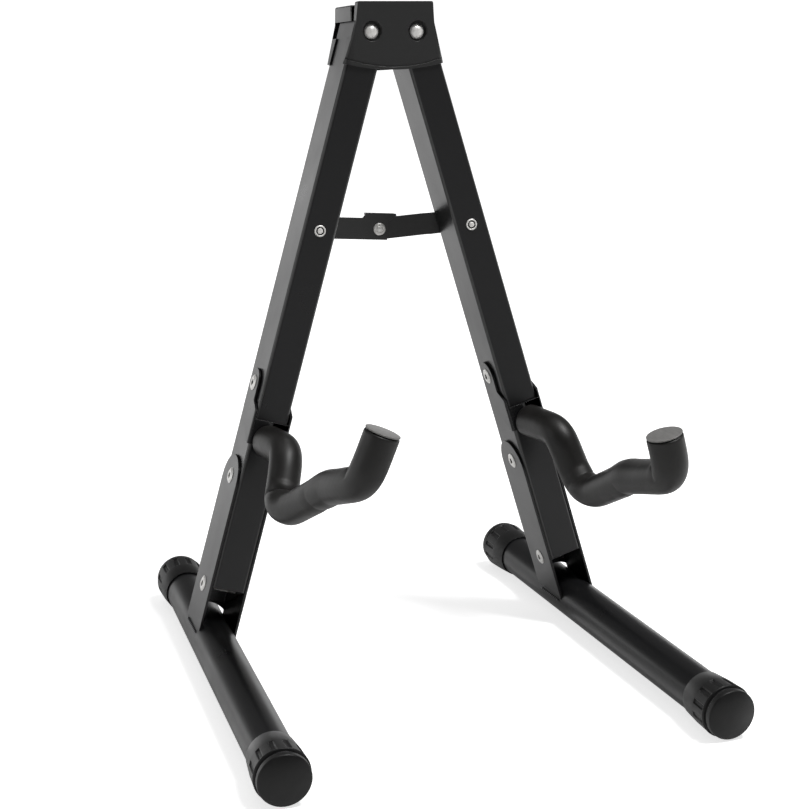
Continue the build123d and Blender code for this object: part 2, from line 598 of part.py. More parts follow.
def spreader_link_right():
    """Rear link: it steps forward to lie against the right leg's back face."""
    pin = LINK_LONG
    step_end = pin - JOGGLE_AT
    step_start = step_end - JOGGLE_LONG
    bar = strip(0, step_start, REAR_FRONT, REAR_BACK) + rod_y(LINK_HALF, REAR_FRONT, REAR_BACK)
    bar += strip(step_end, pin, LINK_FRONT, LINK_BACK) + rod_y(LINK_HALF, LINK_FRONT, LINK_BACK, pin)
    joggle = Polyline((step_start, REAR_FRONT), (step_end, LINK_FRONT), (step_end, LINK_BACK),
                      (step_start, REAR_BACK), close=True)
    bar += Pos(0, 0, -LINK_HALF) * extrude(make_face(joggle), 2 * LINK_HALF)
    bar -= rod_y(SPREAD_PIN_R + PIN_PLAY, REAR_FRONT - 1, REAR_BACK + 1)
    bar -= rod_y(SPREAD_PIN_R + RIVET_PLAY, LINK_FRONT - 1, LINK_BACK + 1, pin)
    return link_frame(RIGHT) * bar


def spreader_rivet():
    """Middle rivet, fixed in the front link."""
    pin = rod_y(SPREAD_PIN_R, LINK_FRONT, REAR_BACK + LINK_BETWEEN)
    pin += dome_y(MIDDLE_HEAD_R, MIDDLE_HEAD_H, LINK_FRONT, -1)
    pin += dome_y(MIDDLE_HEAD_R, MIDDLE_HEAD_H, REAR_BACK + LINK_BETWEEN, 1)
    return link_frame(LEFT) * pin


def front_ring():
    """Front end of a spreader pin: a rolled ring round a raised middle."""
    r = SPREAD_HEAD_R
    h = SPREAD_HEAD_H
    ring = turned([(0, 0), (0, r), (h * 0.4, r), (h * 0.65, r * 0.92), (h * 0.65, r * 0.76),
                   (h * 0.15, r * 0.68), (h * 0.15, r * 0.54), (h * 0.7, r * 0.48), (h, r * 0.26), (h, 0)])
    return Pos(0, -FACE, 0) * Rot(0, 0, -90) * ring


def spreader_pin_left():
    """Through the left leg and the front link, headed behind it."""
    pin = rod_y(SPREAD_PIN_R, -FACE, LINK_BACK + LINK_BETWEEN) + front_ring()
    pin += dome_y(SPREAD_HEAD_R, SPREAD_HEAD_H, LINK_BACK + LINK_BETWEEN, 1)
    return leg_frame(LEFT) * Pos(0, 0, -LINK_AT) * pin


def spreader_pin_right():
    """Through the right leg, flush with its back face: the linkage is opened here."""
    pin = rod_y(SPREAD_PIN_R, -FACE, FACE) + front_ring()
    return leg_frame(RIGHT) * Pos(0, 0, -LINK_AT) * pin


def spreader_pin_end():
    """Rear end of the right pin, carried by the rear link."""
    pin = rod_y(SPREAD_PIN_R, LINK_FRONT, LINK_BACK)
    pin += dome_y(SPREAD_HEAD_R, SPREAD_HEAD_H, LINK_BACK, 1)
    return link_frame(RIGHT) * Pos(LINK_LONG, 0, 0) * pin


# ---- assembly -----------------------------------------------------------
def side_parts(side):
    """Every piece that one leg carries, by node name."""
    leg = leg_frame(side)
    front_cap, rear_cap = base_caps(side)
    arm_grip = LEG_W / 2 + ARM_PLAY + ARM_SHEET
    foot_grip = LEG_W / 2 + FOOT_SHEET
    parts = {
        "leg_tube": leg * leg_tube(side),
        "leg_bush": leg * leg_bush(),
        "arm_pivot_rivet": leg * side_rivet(arm_grip + PIN_PLAY, ARM_PIVOT),
        "arm_bracket": leg * arm_bracket(),
        "arm_rod": arm_rod(side),
        "arm_foam": arm_foam(side),
        "arm_end_cap": arm_plane(side) * arm_end_cap(),
        "foot_bracket": foot_bracket(side),
        "foot_rivet_upper": leg * side_rivet(foot_grip, FOOT_UPPER),
        "foot_rivet_lower": leg * side_rivet(foot_grip, FOOT_LOWER),
        "foot_welds": foot_welds(side),
        "base_tube": base_tube(side),
        "base_cap_front": front_cap,
        "base_cap_rear": rear_cap,
        "head_rivet": head_frame() * head_rivet(side),
        "head_spacer": head_frame() * head_spacer(side),
    }
    return {f"{name}_{SIDE_NAMES[side]}": part for name, part in parts.items()}


def stand_parts():
    parts = {
        "head_front_cover": head_frame() * head_front_cover(),
        "head_rear_cover": head_frame() * head_rear_cover(),
        "spreader_link_left": spreader_link_left(),
        "spreader_link_right": spreader_link_right(),
        "spreader_rivet": spreader_rivet(),
        "spreader_pin_left": spreader_pin_left(),
        "spreader_pin_right": spreader_pin_right(),
        "spreader_pin_end": spreader_pin_end(),
    }
    for side in (LEFT, RIGHT):
        parts.update(side_parts(side))
    return parts


os.makedirs("parts", exist_ok=True)
for name, part in stand_parts().items():
    export_step(part, f"parts/{name}.step")
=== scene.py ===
"""Looks of a folding guitar stand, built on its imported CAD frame.

The tubes, bushes and spacers keep their CAD forms and get their finishes here. The brackets,
links and head shells are copies of theirs with eased edges. The foam sleeves, their rods and
end discs, the base caps, the rivets and the weld beads are new surfaces, each worked out as
whole arrays on a grid of two parameters.
"""

import json
import math

import bmesh
import bpy
import numpy as np
from bpy.props import FloatProperty, IntProperty, PointerProperty, StringProperty
from mathutils import Matrix, Vector


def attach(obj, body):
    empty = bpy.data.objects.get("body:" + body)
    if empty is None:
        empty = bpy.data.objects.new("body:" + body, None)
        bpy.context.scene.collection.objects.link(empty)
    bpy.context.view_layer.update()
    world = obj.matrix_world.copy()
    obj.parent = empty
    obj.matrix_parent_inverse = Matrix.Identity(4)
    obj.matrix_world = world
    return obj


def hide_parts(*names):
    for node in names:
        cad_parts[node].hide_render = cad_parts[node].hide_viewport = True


bl_info = {
    "name": "Folding Guitar Stand",
    "version": (1, 0, 0),
    "blender": (4, 5, 0),
    "location": "3D View > Sidebar > Stand",
    "description": "Finishes and soft parts of a folding guitar stand",
    "category": "Object",
}

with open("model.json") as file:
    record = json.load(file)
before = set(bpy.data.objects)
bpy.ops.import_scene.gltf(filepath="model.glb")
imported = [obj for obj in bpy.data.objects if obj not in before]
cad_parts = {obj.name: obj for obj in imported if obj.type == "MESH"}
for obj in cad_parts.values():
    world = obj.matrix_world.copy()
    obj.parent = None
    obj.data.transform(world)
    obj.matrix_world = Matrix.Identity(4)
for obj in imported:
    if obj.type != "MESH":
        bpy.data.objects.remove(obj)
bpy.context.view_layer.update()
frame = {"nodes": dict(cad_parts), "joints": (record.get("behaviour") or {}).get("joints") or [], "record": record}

MM = 0.001
SIDES = {"left": -1, "right": 1}

# How the legs stand: each splays to its own side, and both lean.
SPLAY = math.radians(16.4)
LEAN = math.radians(5.3)

# The other sizes of the parts are in millimetres.
LEG_DEPTH = 32.0
BASE_R = 12.7
SHEET = 1.7
ROD_R = 4.0
FOAM_R = 9.6

# An arm's root lies this far below its pivot, on the front of its bracket.
ROOT_DROP = 29.8
# Each arm's set angles: towards +X, upwards, and its hang towards -X.
ARM_SET = {"left": (3.3, 10.2, 3.6), "right": (5.7, 2.6, 0.4)}
# Each sleeve's route in its arm's own plane, forward and up from the root, and how sharply its
# corners bend. The two arms were bent by hand and aren't mirror images.
SLEEVE_CORNERS = {
    "left": [(-4.0, 0.0), (34.7, -5.6), (47.7, -42.6), (111.8, -23.8), (150.9, -19.6), (159.5, 7.3)],
    "right": [(-4.0, 0.0), (35.4, -4.3), (45.1, -45.4), (109.8, -24.1), (155.2, -18.3), (157.9, 6.6)],
}
SLEEVE_BENDS = {"left": (15.9, 20.3, 22.9, 14.9), "right": (11.9, 19.3, 23.1, 17.8)}
# How far along its route the sleeve starts, and its radius at four shares of the way along.
SLEEVE_START = 5.0
SLEEVE_MARKS = (0, 0.35, 0.7, 1)
SLEEVE_RADII = {"left": (9.8, 9.2, 9.4, 9.6), "right": (9.8, 9.3, 9.8, 10.1)}
# How deeply each sleeve is creased inside its four bends, and how far before each bend's middle
# the crease lies.
SLEEVE_CREASES = {"left": (0.6, 2.8, 0.7, 1.6), "right": (0.4, 0.9, 0.8, 1.6)}
FOLD_BACK = {"left": (0.0, 2.5, 14.0, 0.0), "right": (0.0, 1.5, 6.0, 0.0)}
# How far the foam squeezed out of the valley bulges on the sleeve's outer, -X side.
SLEEVE_BULGE = {"left": 2.2, "right": 1.4}
# How far the foam stands up on the outside of the third bend.
SLEEVE_CROWN = 0.9

# Sheet parts, how far their cut edges are eased, and their slots.
SHEETS = [(f"{part}_{side}", 0.25, "paint") for part in ("arm_bracket", "foot_bracket") for side in SIDES]
SHEETS += [(f"spreader_link_{side}", 0.25, "paint") for side in SIDES]
SHEETS += [("head_front_cover", 0.18, "cover"), ("head_rear_cover", 0.18, "cover")]

# Rivets and pins: the radii of their shanks, and each domed end's radius and height.
HEAD_SHANK = 3.0
PIN_SHANK = 2.5
HEAD_FRONT = (4.4, 2.5)
HEAD_REAR = (4.4, 2.0)
PIN_REAR = (3.4, 1.0)
MIDDLE_FRONT = (2.1, 0.7)
MIDDLE_REAR = (3.8, 1.5)
# Where shade is painted: the groove of a ringed pin and the eye of a hollow rivet, each by its span along the axis
# and its span of radius.
GROOVE = ((0.6, 1.1), (1.7, 2.45))
EYE_DEEP = 0.4
EYE_R = 1.9

# Weld beads: how far behind the base tube's front end their middle is, the half width of the
# bracket that they run along, their distance from the tube's axis and their own sizes.
FOOT_ALONG = 192.1
FOOT_HALF = 12.0
BEAD_OUT = 12.6
BEAD_R = 0.85
BEAD_HALF = 13.0
BEAD_TAPER = 1.5
BEAD_PITCH = 2.1
BEAD_RIPPLE = 0.12

# Base caps, from their closed face: the flange, the neck behind it, the slotted grip, which
# tapers, and the cone with its open mouth.
FACE_R = 14.3
FACE_THICK = 4.2
NECK_R = 13.4
GRIP_START = 6.0
GRIP_END = 18.0
GRIP_R = (15.25, 14.65)
CAP_LENGTH = 30.0
MOUTH_R = 13.5
CAP_WALL_R = 12.75
SLOT_SPAN = (6.9, 17.4)
SLOT_WIDTH = 2.6
SLOT_DEPTH = 0.8
SLOT_SOFT = 0.35

# The studio: each softbox's place in metres, its width in metres and its power in watts.
LAMPS = {
    "window_left": ((-2.6, 0.3, 1.0), 1.2, 8.0),
    "top_soft": ((0.8, -0.65, 2.5), 0.7, 56.0),
    "ceiling": ((-0.4, 0.2, 3.2), 2.6, 12.0),
}
LAMP_AIM = (0, 0, 0.2)
CAMERA_SPOT = (-0.342712, -0.928062, 0.426423)
CAMERA_AHEAD = (0.323699, 0.909842, -0.259627)
CAMERA_UP = (0.073327, 0.249452, 0.965607)


# ---- settings -----------------------------------------------------------
class StandSettings(bpy.types.PropertyGroup):
    """Sizes and colours of the stand's finishes."""

    coat_colour: StringProperty(name="Coat", description="Powder coat of the steel, sRGB hex", default="#171718")
    cover_colour: StringProperty(
        name="Head", description="Powder coat of the head shells, sRGB hex", default="#252525"
    )
    link_colour: StringProperty(
        name="Links", description="Powder coat of the spreader's links, sRGB hex", default="#343434"
    )
    # Painted highlight: this paler colour on the legs' long corners stands in for the light line that they catch.
    corner_highlight_colour: StringProperty(
        name="Tube corners", description="Thinned coat on the legs' corners, sRGB hex", default="#454545"
    )
    cap_colour: StringProperty(
        name="End caps", description="Soft PVC of the base caps, sRGB hex", default="#050505"
    )
    foam_colour: StringProperty(name="Foam", description="Skin of the foam, sRGB hex", default="#151413")
    bloom_colour: StringProperty(
        name="Foam bloom", description="Dusty patches of the foam, sRGB hex", default="#1e1d1c"
    )
    disc_thick: FloatProperty(
        name="Disc", description="Thickness of the end discs", default=0.9 * MM, unit="LENGTH"
    )
    disc_gap: FloatProperty(
        name="Disc gap", description="Open line between sleeve and disc", default=0.35 * MM, unit="LENGTH"
    )
    foam_radius: FloatProperty(
        name="Foam radius", description="Outside of the foam sleeve", default=FOAM_R * MM, unit="LENGTH"
    )
    foam_fill: FloatProperty(
        name="Foam fill", description="How firm the sleeve is", default=0.85, min=0, max=1, subtype="FACTOR"
    )
    foam_step: FloatProperty(
        name="Foam step", description="Spacing of the rings along the sleeve", default=0.8 * MM, unit="LENGTH"
    )
    cap_slots: IntProperty(name="Cap slots", description="Slots round each end cap", default=12)
    lens: FloatProperty(
        name="Lens", description="Focal length on a 36 mm sensor", default=79.556, unit="CAMERA"
    )
    floor_size: FloatProperty(name="Floor", description="Half width of the floor", default=14.0, unit="LENGTH")


def settings():
    return bpy.context.scene.stand_settings


# ---- small tools --------------------------------------------------------
def hex_linear(code):
    """The linear colour of an sRGB hex value."""
    parts = [int(code[i : i + 2], 16) / 255 for i in (1, 3, 5)]
    return [c / 12.92 if c <= 0.04045 else ((c + 0.055) / 1.055) ** 2.4 for c in parts] + [1.0]


def add(tree, kind, inputs=(), stops=(), **properties):
    """Adds one node, sets its properties, and fills or links its inputs.

    Inputs come as a dict by name or, in their order, as a tuple. A colour ramp has its two stops, each a
    place and a hex colour.
    """
    node = tree.nodes.new(kind)
    for key, value in properties.items():
        setattr(node, key, value)
    for key, value in inputs.items() if isinstance(inputs, dict) else enumerate(inputs):
        if isinstance(value, bpy.types.NodeSocket):
            tree.links.new(value, node.inputs[key])
        else:
            node.inputs[key].default_value = value
    for number, (spot, code) in enumerate(stops):
        node.color_ramp.elements[number].position = spot
        node.color_ramp.elements[number].color = hex_linear(code)
    return node


def new_material(name):
    """A node material with no nodes yet, and its tree."""
    material = bpy.data.materials.new(name)
    material.use_nodes = True
    material.node_tree.nodes.clear()
    return material, material.node_tree


def grid_mesh(name, points, wrap_u=False):
    """A mesh of quads over a (rows, columns, 3) array in metres, closed along its columns.

    Its faces point outwards where the columns turn right-handed about the rows' direction.
    """
    rows, cols = points.shape[:2]
    index = np.arange(rows * cols).reshape(rows, cols)
    a = index if wrap_u else index[:-1]
    b = np.roll(index, -1, 0) if wrap_u else index[1:]
    quads = np.stack([a, np.roll(a, -1, 1), np.roll(b, -1, 1), b], -1)
    mesh = bpy.data.meshes.new(name)
    mesh.from_pydata(points.reshape(-1, 3).tolist(), [], quads.reshape(-1, 4).tolist())
    mesh.validate()
    mesh.shade_smooth()
    return mesh


def close_poles(mesh):
    """Merges the rings that stand on the axis into single points, and turns the faces outwards."""
    work = bmesh.new()
    work.from_mesh(mesh)
    bmesh.ops.remove_doubles(work, verts=work.verts, dist=1e-7)
    bmesh.ops.recalc_face_normals(work, faces=work.faces)
    work.to_mesh(mesh)
    work.free()
    mesh.shade_smooth()
    return mesh


def place(name, mesh, material, body, slot, *nodes):
    """Puts a finished mesh in the scene on its body, in place of its CAD nodes."""
    piece = bpy.data.objects.new(name, mesh)
    bpy.context.scene.collection.objects.link(piece)
    mesh.materials.append(material)
    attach(piece, body)
    if nodes:
        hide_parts(*nodes)
    return piece


def body_of(node):
    """The body that a CAD node belongs to."""
    return next(body for body, nodes in frame["record"]["behaviour"]["bodies"].items() if node in nodes)


def joint_spot(name):
    """Where a joint of the frame stands, in metres."""
    for joint in frame["joints"]:
        if joint["name"] == name:
            return np.array(joint["pos_m"])
    raise ValueError(f"the frame has no joint {name}")


def vertices_of(node):
    """A CAD node's vertices, in metres."""
    mesh = frame["nodes"][node].data
    flat = np.zeros(len(mesh.vertices) * 3, np.float32)
    mesh.vertices.foreach_get("co", flat)
    return flat.reshape(-1, 3).astype(float)


def turned_place(node, axis):
    """Where a turned CAD node starts on its axis, its length in mm, and a direction square to the axis."""
    axis = axis / np.linalg.norm(axis)
    across = np.cross(axis, [0.0, 0.0, 1.0])
    across /= np.linalg.norm(across)
    other = np.cross(axis, across)
    spots = vertices_of(node)
    reach = [((spots @ way).min(), (spots @ way).max()) for way in (axis, across, other)]
    start = axis * reach[0][0] + across * sum(reach[1]) / 2 + other * sum(reach[2]) / 2
    return start, (reach[0][1] - reach[0][0]) / MM, across


def base_line(side):
    """A base tube's front end, and its direction towards the rear."""
    spots = vertices_of(f"base_tube_{side}")
    front = spots[spots[:, 1] < spots[:, 1].min() + 2 * MM].mean(0)
    rear = spots[spots[:, 1] > spots[:, 1].max() - 2 * MM].mean(0)
    return front, (rear - front) / np.linalg.norm(rear - front)


def leg_axes(side):
    """Across, back and up directions of a leg."""
    s = SIDES[side]
    tilt = s * math.sin(SPLAY)
    across = np.array([math.cos(SPLAY), tilt * math.sin(LEAN), tilt * math.cos(LEAN)])
    back = np.array([0.0, math.cos(LEAN), -math.sin(LEAN)])
    return across, back, np.cross(across, back)


def turn(vector, axis, angle):
    """A vector turned about an axis by the right-hand rule, in radians."""
    return (
        vector * math.cos(angle)
        + np.cross(axis, vector) * math.sin(angle)
        + axis * (axis @ vector) * (1 - math.cos(angle))
    )


def hump(gap, width):
    """A bell curve of height 1 and width w: exp(-gap^2 / (2 w^2))."""
    return np.exp(-(gap**2) / (2 * width**2))


# ---- outlines and surfaces ----------------------------------------------
def round_outline(points, radii, step=0.5):
    """A half outline with its corners rounded: each becomes an arc of its radius, sampled every step mm."""
    points = [np.array(p, float) for p in points]
    out = [points[0]]
    for before, corner, after, radius in zip(points[:-2], points[1:-1], points[2:], radii):
        a, b = before - corner, after - corner
        la, lb = np.linalg.norm(a), np.linalg.norm(b)
        a, b = a / la, b / lb
        half = math.acos(np.clip(a @ b, -1, 1)) / 2
        if radius <= 0 or half > 1.55:
            out.append(corner)
            continue
        cut = min(radius / math.tan(half), 0.49 * la, 0.49 * lb)
        radius = cut * math.tan(half)
        centre = corner + (a + b) / np.linalg.norm(a + b) * radius / math.sin(half)
        start, end = corner + a * cut - centre, corner + b * cut - centre
        sweep = math.acos(np.clip(start @ end / radius**2, -1, 1))
        count = max(3, int(radius * sweep / step) + 2)
        t = np.linspace(0, 1, count)[:, None]
        arc = (np.sin((1 - t) * sweep) * start + np.sin(t * sweep) * end) / math.sin(sweep)
        out.extend(centre + arc)
    out.append(points[-1])
    return np.array(out)


def dome(radius, height, end=None):
    """Half outline of a domed head: an arc from its crown at 0 to its rim or, with an end, from rim to end."""
    ball = (radius**2 + height**2) / (2 * height)
    r = np.linspace(0, radius, 12)
    along = ball - np.sqrt(ball**2 - r**2)
    if end is not None:
        return np.stack([end - along, r], -1)[::-1]
    return np.stack([along, r], -1)


def resample(points, step):
    """The same line with points an even step apart, and each one's distance along it."""
    gaps = np.linalg.norm(np.diff(points, axis=0), axis=1)
    along = np.concatenate([[0], np.cumsum(gaps)])
    count = int(round(along[-1] / step)) + 1
    at = np.linspace(0, along[-1], count)
    return np.stack([np.interp(at, along, points[:, i]) for i in range(points.shape[1])], -1), at


def tube_about(centre, normal, binormal, radius):
    """Rings about a line: each point is the centre plus radius times (cos v normal + sin v binormal)."""
    v = np.linspace(0, 2 * math.pi, radius.shape[1], endpoint=False)
    spokes = np.cos(v)[None, :, None] * normal[:, None] + np.sin(v)[None, :, None] * binormal[:, None]
    return centre[:, None] + radius[..., None] * spokes


def lathe(name, origin, axis, across, profile, count, bulge=None, ring=False):
    """A turned surface: a half outline of (along, radius) in mm, carried round an axis.

    Each point is origin + along * axis + radius * (cos v across + sin v (axis x across)).
    bulge(along, v) adds to the radius, so slots and ribs are part of the same surface. A ring's outline
    closes on itself instead of ending on the axis.
    """
    profile = np.asarray(profile, float)
    v = np.linspace(0, 2 * math.pi, count, endpoint=False)
    radius = np.repeat(profile[:, 1:2], count, 1)
    if bulge is not None:
        radius = radius + bulge(profile, v[None, :])
    other = np.cross(axis, across)
    spokes = np.cos(v)[:, None] * across + np.sin(v)[:, None] * other
    points = origin + (profile[:, 0, None, None] * axis + radius[..., None] * spokes[None]) * MM
    return close_poles(grid_mesh(name, points, wrap_u=ring))


# ---- materials ----------------------------------------------------------
def powder_coated_steel(name, code, rough, corners=None):
    """Polyester powder coat, baked on steel: satin black, its reflections softened by a fine orange peel.

    With a leg's three directions as corners, the tube's long corners get a painted highlight: a paler colour for
    the light line that they catch.
    """
    material, tree = new_material(name)
    where = add(tree, "ShaderNodeTexCoord").outputs["Object"]
    # Orange peel is a swell of about 1.2 mm.
    peel = add(tree, "ShaderNodeTexNoise", {"Vector": where, "Scale": 1 / 0.0012, "Detail": 2.0})
    # Handling leaves patches of slightly different gloss, about 3 cm wide.
    patch = add(tree, "ShaderNodeTexNoise", {"Vector": where, "Scale": 1 / 0.03, "Detail": 3.0})
    gloss = add(tree, "ShaderNodeMapRange", (patch.outputs["Fac"], 0.3, 0.7, rough - 0.03, rough + 0.04))
    bump = add(tree, "ShaderNodeBump", {"Height": peel.outputs["Fac"], "Strength": 0.5, "Distance": 0.00002})
    tone = hex_linear(code)
    if corners is not None:
        # Painted highlight: the tube's long corners are coloured paler, in place of the light line that they
        # catch. They lie where the normal is far from both across and back, and square to the tube's length.
        normal = add(tree, "ShaderNodeTexCoord").outputs["Normal"]
        near = []
        for way in corners:
            dot = add(tree, "ShaderNodeVectorMath", (normal, tuple(way)), operation="DOT_PRODUCT")
            near.append(add(tree, "ShaderNodeMath", (dot.outputs["Value"],), operation="ABSOLUTE").outputs[0])
        most = add(tree, "ShaderNodeMath", (near[0], near[1]), operation="MAXIMUM").outputs[0]
        turned = add(tree, "ShaderNodeMapRange", (most, 0.88, 0.97, 1.0, 0.0)).outputs[0]
        long = add(tree, "ShaderNodeMapRange", (near[2], 0.1, 0.2, 1.0, 0.0)).outputs[0]
        painted_highlight = add(tree, "ShaderNodeMath", (turned, long), operation="MULTIPLY").outputs[0]
        stops = [(0.0, code), (1.0, settings().corner_highlight_colour)]
        tone = add(tree, "ShaderNodeValToRGB", {"Fac": painted_highlight}, stops).outputs["Color"]
    looks = {"Base Color": tone, "Roughness": gloss.outputs[0], "IOR": 1.42, "Normal": bump.outputs[0]}
    shader = add(tree, "ShaderNodeBsdfPrincipled", looks)
    add(tree, "ShaderNodeOutputMaterial", {"Surface": shader.outputs["BSDF"]})
    return material


def nickel_plated_steel():
    """Nickel plate on a cold-headed rivet: bright and satin, with soft drag marks of the clinching tool.

    Tumbling leaves facets too fine to draw, which scatter light in all directions, so the plate is mostly
    diffuse: metallic 0.35 instead of 1.
    """
    material, tree = new_material("nickel_plated_steel")
    where = add(tree, "ShaderNodeTexCoord").outputs["Object"]
    # Tool marks about 1.5 mm apart.
    marks = add(tree, "ShaderNodeTexNoise", {"Vector": where, "Scale": 1 / 0.0015, "Detail": 2.0}).outputs["Fac"]
    gloss = add(tree, "ShaderNodeMapRange", (marks, 0.3, 0.7, 0.34, 0.46))
    tone = add(tree, "ShaderNodeValToRGB", {"Fac": marks}, [(0.3, "#e4e2de"), (0.7, "#f2f1ef")])
    bump = add(tree, "ShaderNodeBump", {"Height": marks, "Strength": 0.25, "Distance": 0.00008})
    looks = {
        "Base Color": tone.outputs[0],
        "Metallic": 0.35,
        "Roughness": gloss.outputs[0],
        "Normal": bump.outputs[0],
    }
    shader = add(tree, "ShaderNodeBsdfPrincipled", looks)
    add(tree, "ShaderNodeOutputMaterial", {"Surface": shader.outputs["BSDF"]})
    return material


def painted_recess_shade():
    """Painted shade: near black steel on the faces of a rivet's eye and a pin's groove, in place of the shade in
    these hollows.
    """
    material, tree = new_material("painted_shade_steel")
    where = add(tree, "ShaderNodeTexCoord").outputs["Object"]
    # Dirt lies in patches about 1 mm wide, which differ only in gloss.
    dirt = add(tree, "ShaderNodeTexNoise", {"Vector": where, "Scale": 1 / 0.001, "Detail": 2.0}).outputs["Fac"]
    gloss = add(tree, "ShaderNodeMapRange", (dirt, 0.3, 0.7, 0.47, 0.54))
    looks = {"Base Color": hex_linear("#0d0d0d"), "Roughness": gloss.outputs[0], "IOR": 1.42}
    shader = add(tree, "ShaderNodeBsdfPrincipled", looks)
    add(tree, "ShaderNodeOutputMaterial", {"Surface": shader.outputs["BSDF"]})
    return material


def zinc_plated_steel():
    """Zinc plate on turned sleeves: dull grey, with a faint cloudiness."""
    material, tree = new_material("zinc_plated_steel")
    where = add(tree, "ShaderNodeTexCoord").outputs["Object"]
    # The plate's crystals make clouds about 1.5 mm wide.
    cloud = add(tree, "ShaderNodeTexNoise", {"Vector": where, "Scale": 1 / 0.0015, "Detail": 3.0}).outputs["Fac"]
    tone = add(tree, "ShaderNodeValToRGB", {"Fac": cloud}, [(0.3, "#8f9294"), (0.7, "#b4b6b7")])
    looks = {"Base Color": tone.outputs[0], "Metallic": 1.0, "Roughness": 0.45}
    shader = add(tree, "ShaderNodeBsdfPrincipled", looks)
    add(tree, "ShaderNodeOutputMaterial", {"Surface": shader.outputs["BSDF"]})
    return material


def closed_cell_foam():
    """Extruded NBR foam tube: dark warm grey, its closed skin satin and finely pored."""
    material, tree = new_material("closed_cell_foam")
    where = add(tree, "ShaderNodeTexCoord").outputs["Object"]
    # Pores of the skin, about 0.6 mm.
    pores = add(tree, "ShaderNodeTexVoronoi", {"Vector": where, "Scale": 1 / 0.0006}).outputs["Distance"]
    # The skin's soft unevenness from extruding, about 5 mm.
    swell = add(tree, "ShaderNodeTexNoise", {"Vector": where, "Scale": 1 / 0.005, "Detail": 3.0}).outputs["Fac"]
    # Bloom and dust, in patches about 2 cm wide, lighten and dull the skin a little.
    bloom = add(tree, "ShaderNodeTexNoise", {"Vector": where, "Scale": 1 / 0.02, "Detail": 3.0}).outputs["Fac"]
    stops = [(0.35, settings().foam_colour), (0.7, settings().bloom_colour)]
    tone = add(tree, "ShaderNodeValToRGB", {"Fac": bloom}, stops)
    dull = add(tree, "ShaderNodeMapRange", (bloom, 0.35, 0.7, 0.42, 0.52))
    fine = add(tree, "ShaderNodeBump", {"Height": pores, "Strength": 0.25, "Distance": 0.00005}).outputs[0]
    soft = add(tree, "ShaderNodeBump", {"Height": swell, "Strength": 0.3, "Distance": 0.0003, "Normal": fine})
    looks = {"Base Color": tone.outputs[0], "Roughness": dull.outputs[0], "IOR": 1.4, "Normal": soft.outputs[0]}
    shader = add(tree, "ShaderNodeBsdfPrincipled", looks)
    add(tree, "ShaderNodeOutputMaterial", {"Surface": shader.outputs["BSDF"]})
    return material


def die_cut_vinyl():
    """Die-cut vinyl of the arms' end discs: mid grey, calendered, with a faint directional haze."""
    material, tree = new_material("die_cut_vinyl")
    where = add(tree, "ShaderNodeTexCoord").outputs["Object"]
    # Calender haze drawn out along one way, about 1 by 6 mm.
    drawn = add(tree, "ShaderNodeMapping", {"Vector": where, "Scale": (1.0, 0.17, 1.0)}).outputs["Vector"]
    haze = add(tree, "ShaderNodeTexNoise", {"Vector": drawn, "Scale": 1 / 0.001, "Detail": 3.0}).outputs["Fac"]
    tone = add(tree, "ShaderNodeValToRGB", {"Fac": haze}, [(0.3, "#6c6b6a"), (0.7, "#7e7d7b")])
    gloss = add(tree, "ShaderNodeMapRange", (haze, 0.3, 0.7, 0.34, 0.46))
    bump = add(tree, "ShaderNodeBump", {"Height": haze, "Strength": 0.2, "Distance": 0.00003})
    looks = {"Base Color": tone.outputs[0], "Roughness": gloss.outputs[0], "IOR": 1.52, "Normal": bump.outputs[0]}
    shader = add(tree, "ShaderNodeBsdfPrincipled", looks)
    add(tree, "ShaderNodeOutputMaterial", {"Surface": shader.outputs["BSDF"]})
    return material


def moulded_pvc():
    """Injection-moulded soft PVC: matt black with a spark-eroded grain.

    Plasticiser that has come out to its skin gives it a faint sheen towards its edges.
    """
    material, tree = new_material("moulded_pvc")
    where = add(tree, "ShaderNodeTexCoord").outputs["Object"]
    # Spark-eroded grain, about 0.25 mm, drawn at 0.5 mm so that it shows.
    grain = add(tree, "ShaderNodeTexNoise", {"Vector": where, "Scale": 1 / 0.0005, "Detail": 2.0}).outputs["Fac"]
    # Flow and scuffs leave patches of gloss about 8 mm wide.
    patch = add(tree, "ShaderNodeTexNoise", {"Vector": where, "Scale": 1 / 0.008, "Detail": 3.0}).outputs["Fac"]
    gloss = add(tree, "ShaderNodeMapRange", (patch, 0.3, 0.7, 0.41, 0.52))
    bump = add(tree, "ShaderNodeBump", {"Height": grain, "Strength": 0.3, "Distance": 0.00004})
    looks = {
        "Base Color": hex_linear(settings().cap_colour),
        "Roughness": gloss.outputs[0],
        "IOR": 1.38,
        "Sheen Weight": 0.3,
        "Sheen Roughness": 0.4,
        "Normal": bump.outputs[0],
    }
    shader = add(tree, "ShaderNodeBsdfPrincipled", looks)
    add(tree, "ShaderNodeOutputMaterial", {"Surface": shader.outputs["BSDF"]})
    return material


